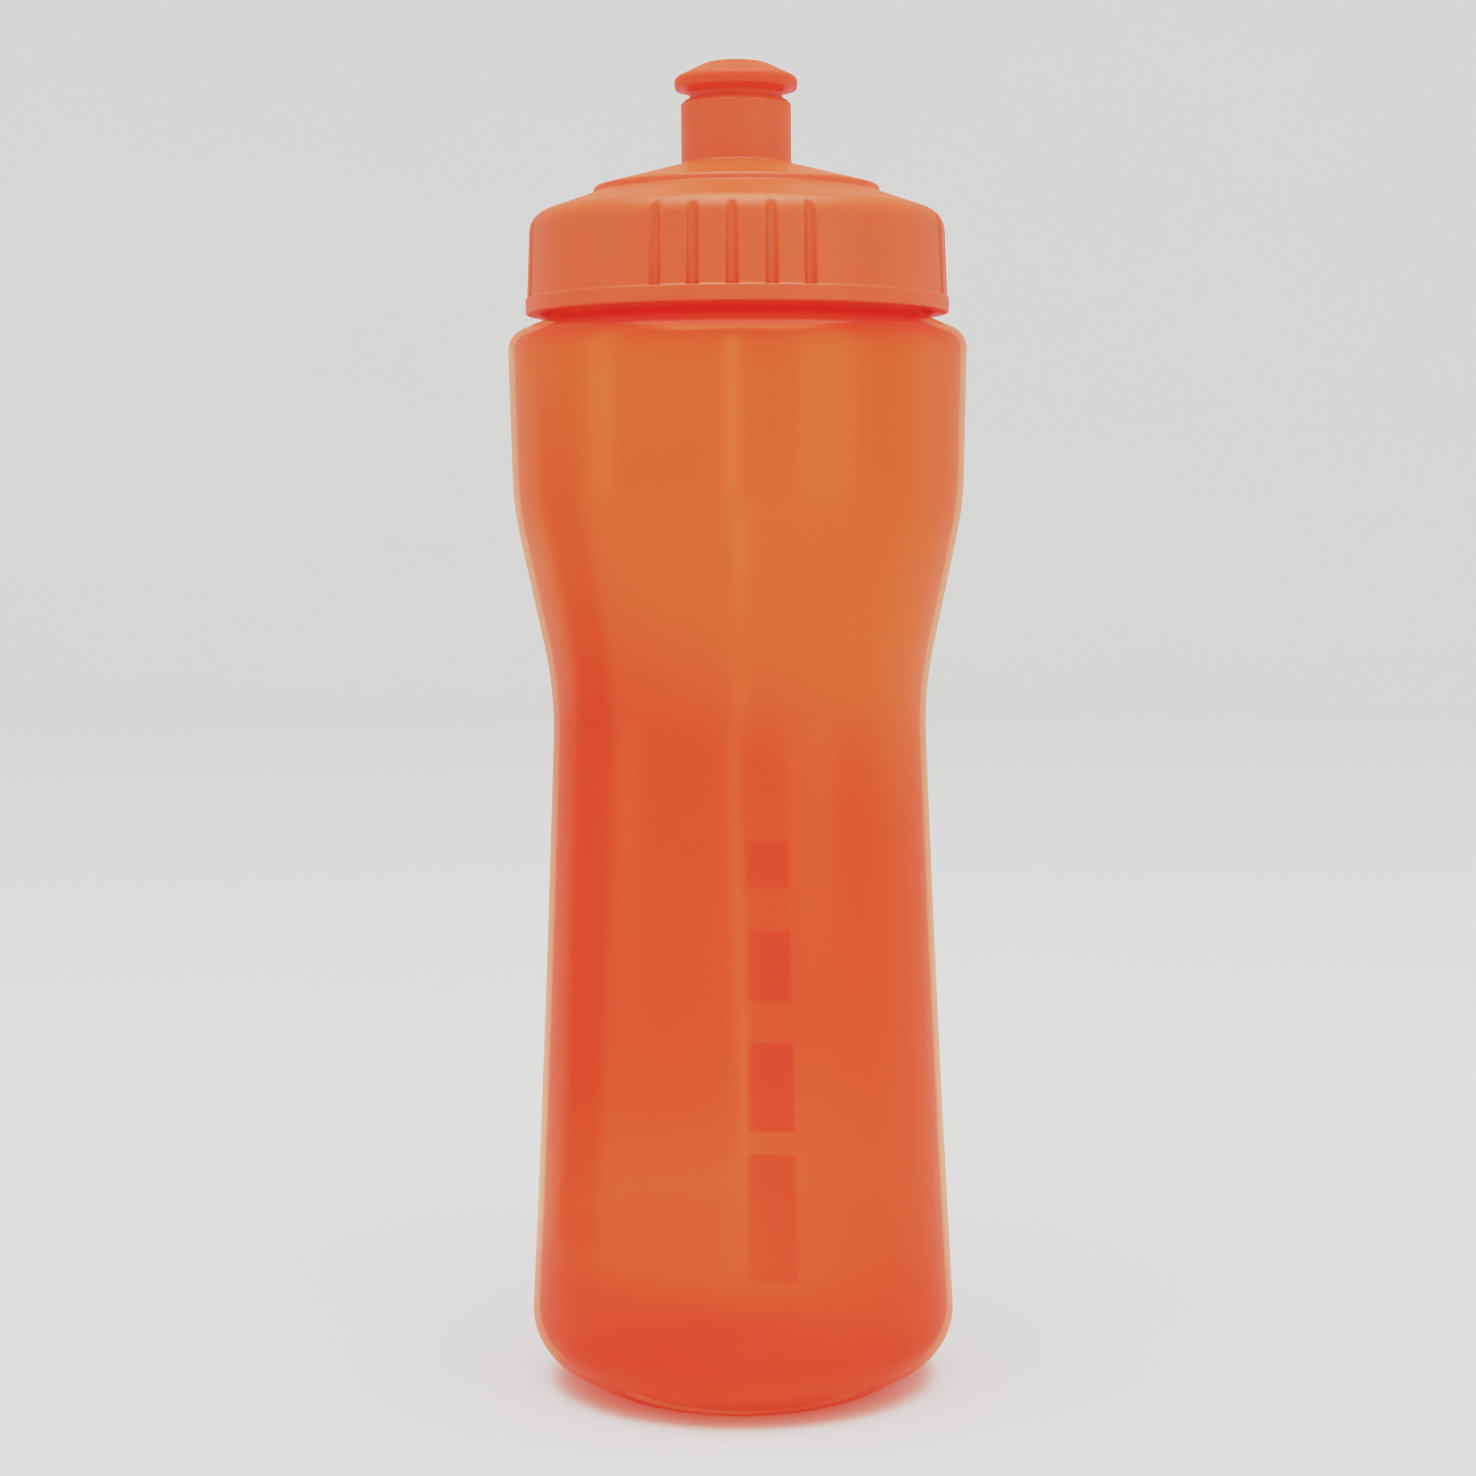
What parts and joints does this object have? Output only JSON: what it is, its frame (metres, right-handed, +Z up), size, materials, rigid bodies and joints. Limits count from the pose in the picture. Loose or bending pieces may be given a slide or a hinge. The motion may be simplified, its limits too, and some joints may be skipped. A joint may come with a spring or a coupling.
{
  "type": "squeeze bottle",
  "caption": "Waisted soft squeeze bottle with a ribbed screw lid, sealing ring, raised collar and a push-pull drinking spout.",
  "frame": {"origin": "middle of the round foot, in the plane the bottle stands on", "axes": "+Z up along the bottle's axis, -Y towards the front"},
  "size_m": [0.0734, 0.0734, 0.2132],
  "materials": {
    "body_plastic": "translucent soft polyethylene, satin gloss",
    "cap_plastic": "satin moulded polyethylene",
    "spout_plastic": "satin moulded polyethylene",
    "seal_rubber": "matt soft rubber"
  },
  "bodies": {
    "bottle": {"bottle_body": "body_plastic"},
    "seal": {"lid_seal": "seal_rubber"},
    "lid": {"screw_cap": "cap_plastic"},
    "spout": {"pull_spout": "spout_plastic"}
  },
  "joints": [
    {"name": "lid_lift", "type": "slide", "parent": "bottle", "child": "seal", "axis": [0, 0, 1], "range_m": [0, 0.0175]},
    {"name": "lid_turn", "type": "hinge", "parent": "seal", "child": "lid", "pos_m": [0, 0, 0.1859], "axis": [0, 0, 1], "range_deg": [0, 1260]},
    {"name": "spout_pull", "type": "slide", "parent": "lid", "child": "spout", "axis": [0, 0, 1], "range_m": [0, 0.0055]}
  ],
  "couplings": [
    {"joint": "lid_lift", "follows": "lid_turn", "m_per_rad": 0.00079577}
  ]
}
